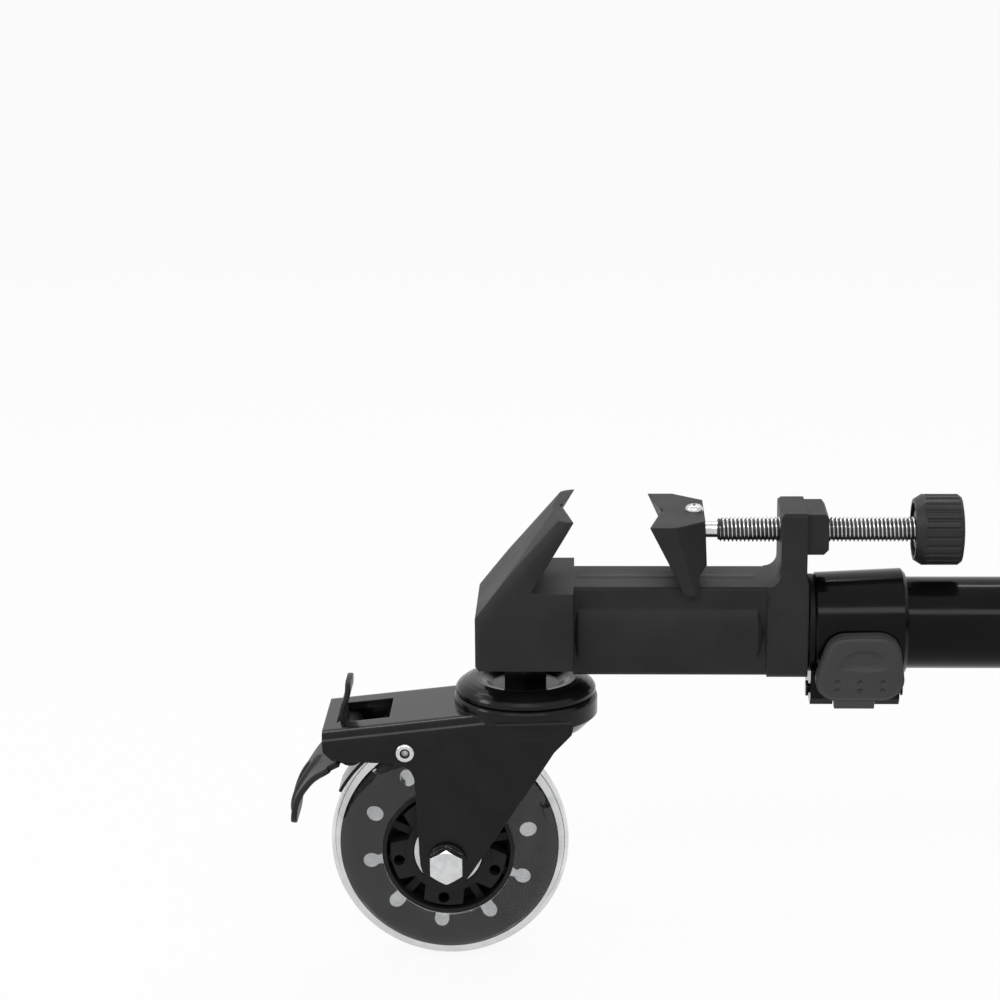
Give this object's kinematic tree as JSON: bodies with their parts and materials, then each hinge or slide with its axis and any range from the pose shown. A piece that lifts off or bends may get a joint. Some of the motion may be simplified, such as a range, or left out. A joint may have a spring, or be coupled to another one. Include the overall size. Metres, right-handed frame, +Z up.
{
  "type": "tripod dolly",
  "caption": "Three-legged folding rolling base: each telescoping leg ends in a screw clamp for a tripod foot and a braked swivel caster",
  "frame": {"origin": "centre of the hub's flat top face, on the axis that the three legs spread from", "axes": "Z is up, out of the hub's top face; the fixed leg points along -X; +Y is across, along the longest side"},
  "size_m": [0.7546, 0.8668, 0.1515],
  "materials": {
    "satin_casting": "die casting with a satin black coat",
    "gloss_enamel": "gloss black powder coat on steel",
    "moulded_plastic": "moulded black plastic with a fine grain",
    "zinc_plate": "bright zinc plate",
    "bearing_steel": "polished bearing steel",
    "clear_urethane": "clear polyurethane, faintly smoky",
    "core_nylon": "black glass-filled nylon"
  },
  "bodies": {
    "hub": {"hub_base": "satin_casting", "hub_top_plate": "satin_casting", "hub_bolts": "zinc_plate", "leg_tube_1": "gloss_enamel", "leg_plug_1": "moulded_plastic", "lock_collar_1": "gloss_enamel"},
    "leg_2": {"leg_tube_2": "gloss_enamel", "leg_plug_2": "moulded_plastic", "lock_collar_2": "gloss_enamel"},
    "leg_3": {"leg_tube_3": "gloss_enamel", "leg_plug_3": "moulded_plastic", "lock_collar_3": "gloss_enamel"},
    "lever_1": {"lock_lever_1": "moulded_plastic"},
    "foot_1": {"inner_tube_1": "gloss_enamel", "clamp_body_1": "satin_casting", "swivel_bolt_1": "gloss_enamel", "swivel_race_1": "gloss_enamel", "swivel_balls_1": "bearing_steel"},
    "jaw_1": {"sliding_jaw_1": "satin_casting"},
    "screw_1": {"clamp_screw_1": "zinc_plate", "clamp_knob_1": "moulded_plastic"},
    "fork_1": {"fork_1": "gloss_enamel", "axle_1": "zinc_plate", "brake_spring_1": "gloss_enamel"},
    "brake_1": {"brake_pedal_1": "gloss_enamel"},
    "wheel_1": {"tyre_1": "clear_urethane", "wheel_core_1": "core_nylon", "bearings_1": "bearing_steel"},
    "lever_2": {"lock_lever_2": "moulded_plastic"},
    "foot_2": {"inner_tube_2": "gloss_enamel", "clamp_body_2": "satin_casting", "swivel_bolt_2": "gloss_enamel", "swivel_race_2": "gloss_enamel", "swivel_balls_2": "bearing_steel"},
    "jaw_2": {"sliding_jaw_2": "satin_casting"},
    "screw_2": {"clamp_screw_2": "zinc_plate", "clamp_knob_2": "moulded_plastic"},
    "fork_2": {"fork_2": "gloss_enamel", "axle_2": "zinc_plate", "brake_spring_2": "gloss_enamel"},
    "brake_2": {"brake_pedal_2": "gloss_enamel"},
    "wheel_2": {"tyre_2": "clear_urethane", "wheel_core_2": "core_nylon", "bearings_2": "bearing_steel"},
    "lever_3": {"lock_lever_3": "moulded_plastic"},
    "foot_3": {"inner_tube_3": "gloss_enamel", "clamp_body_3": "satin_casting", "swivel_bolt_3": "gloss_enamel", "swivel_race_3": "gloss_enamel", "swivel_balls_3": "bearing_steel"},
    "jaw_3": {"sliding_jaw_3": "satin_casting"},
    "screw_3": {"clamp_screw_3": "zinc_plate", "clamp_knob_3": "moulded_plastic"},
    "fork_3": {"fork_3": "gloss_enamel", "axle_3": "zinc_plate", "brake_spring_3": "gloss_enamel"},
    "brake_3": {"brake_pedal_3": "gloss_enamel"},
    "wheel_3": {"tyre_3": "clear_urethane", "wheel_core_3": "core_nylon", "bearings_3": "bearing_steel"}
  },
  "joints": [
    {"name": "fold_2", "type": "hinge", "parent": "hub", "child": "leg_2", "pos_m": [0.0375, -0.06495, -0.0196], "axis": [0, 0, -1], "range_deg": [0, 120]},
    {"name": "fold_3", "type": "hinge", "parent": "hub", "child": "leg_3", "pos_m": [0.0375, 0.06495, -0.0196], "axis": [0, 0, 1], "range_deg": [0, 120]},
    {"name": "leg_slide_1", "type": "slide", "parent": "hub", "child": "foot_1", "axis": [-1, 0, 0], "range_m": [0, 0.15]},
    {"name": "lever_1", "type": "hinge", "parent": "hub", "child": "lever_1", "pos_m": [-0.317, -0.0085, -0.0384], "axis": [1, 0, 0], "range_deg": [0, 110]},
    {"name": "jaw_slide_1", "type": "slide", "parent": "foot_1", "child": "jaw_1", "axis": [1, 0, 0], "range_m": [-0.023, 0.0205]},
    {"name": "screw_turn_1", "type": "hinge", "parent": "jaw_1", "child": "screw_1", "pos_m": [-0.33, 0, 0.0104], "axis": [1, 0, 0], "range_deg": [-6632, 5912]},
    {"name": "swivel_1", "type": "hinge", "parent": "foot_1", "child": "fork_1", "pos_m": [-0.42, 0, -0.0418], "axis": [0, 0, 1], "continuous": true},
    {"name": "wheel_spin_1", "type": "hinge", "parent": "fork_1", "child": "wheel_1", "pos_m": [-0.4445, 0, -0.0921], "axis": [0, 1, 0], "continuous": true},
    {"name": "brake_1", "type": "hinge", "parent": "fork_1", "child": "brake_1", "pos_m": [-0.476, 0, -0.056], "axis": [0, 1, 0], "range_deg": [0, 30]},
    {"name": "leg_slide_2", "type": "slide", "parent": "leg_2", "child": "foot_2", "axis": [0.5, -0.866, 0], "range_m": [0, 0.15]},
    {"name": "lever_2", "type": "hinge", "parent": "leg_2", "child": "lever_2", "pos_m": [0.16586, -0.27028, -0.0384], "axis": [-0.5, 0.866, 0], "range_deg": [0, 110]},
    {"name": "jaw_slide_2", "type": "slide", "parent": "foot_2", "child": "jaw_2", "axis": [-0.5, 0.866, 0], "range_m": [-0.023, 0.0205]},
    {"name": "screw_turn_2", "type": "hinge", "parent": "jaw_2", "child": "screw_2", "pos_m": [0.165, -0.28579, 0.0104], "axis": [-0.5, 0.866, 0], "range_deg": [-6632, 5912]},
    {"name": "swivel_2", "type": "hinge", "parent": "foot_2", "child": "fork_2", "pos_m": [0.21, -0.36373, -0.0418], "axis": [0, 0, 1], "continuous": true},
    {"name": "wheel_spin_2", "type": "hinge", "parent": "fork_2", "child": "wheel_2", "pos_m": [0.22225, -0.38495, -0.0921], "axis": [-0.866, -0.5, 0], "continuous": true},
    {"name": "brake_2", "type": "hinge", "parent": "fork_2", "child": "brake_2", "pos_m": [0.238, -0.41223, -0.056], "axis": [-0.866, -0.5, 0], "range_deg": [0, 30]},
    {"name": "leg_slide_3", "type": "slide", "parent": "leg_3", "child": "foot_3", "axis": [0.5, 0.866, 0], "range_m": [0, 0.15]},
    {"name": "lever_3", "type": "hinge", "parent": "leg_3", "child": "lever_3", "pos_m": [0.15114, 0.27878, -0.0384], "axis": [-0.5, -0.866, 0], "range_deg": [0, 110]},
    {"name": "jaw_slide_3", "type": "slide", "parent": "foot_3", "child": "jaw_3", "axis": [-0.5, -0.866, 0], "range_m": [-0.023, 0.0205]},
    {"name": "screw_turn_3", "type": "hinge", "parent": "jaw_3", "child": "screw_3", "pos_m": [0.165, 0.28579, 0.0104], "axis": [-0.5, -0.866, 0], "range_deg": [-6632, 5912]},
    {"name": "swivel_3", "type": "hinge", "parent": "foot_3", "child": "fork_3", "pos_m": [0.21, 0.36373, -0.0418], "axis": [0, 0, 1], "continuous": true},
    {"name": "wheel_spin_3", "type": "hinge", "parent": "fork_3", "child": "wheel_3", "pos_m": [0.22225, 0.38495, -0.0921], "axis": [0.866, -0.5, 0], "continuous": true},
    {"name": "brake_3", "type": "hinge", "parent": "fork_3", "child": "brake_3", "pos_m": [0.238, 0.41223, -0.056], "axis": [0.866, -0.5, 0], "range_deg": [0, 30]}
  ],
  "couplings": [
    {"joint": "screw_turn_1", "follows": "jaw_slide_1", "rad_per_m": 5026.5},
    {"joint": "screw_turn_2", "follows": "jaw_slide_2", "rad_per_m": 5026.5},
    {"joint": "screw_turn_3", "follows": "jaw_slide_3", "rad_per_m": 5026.5}
  ]
}
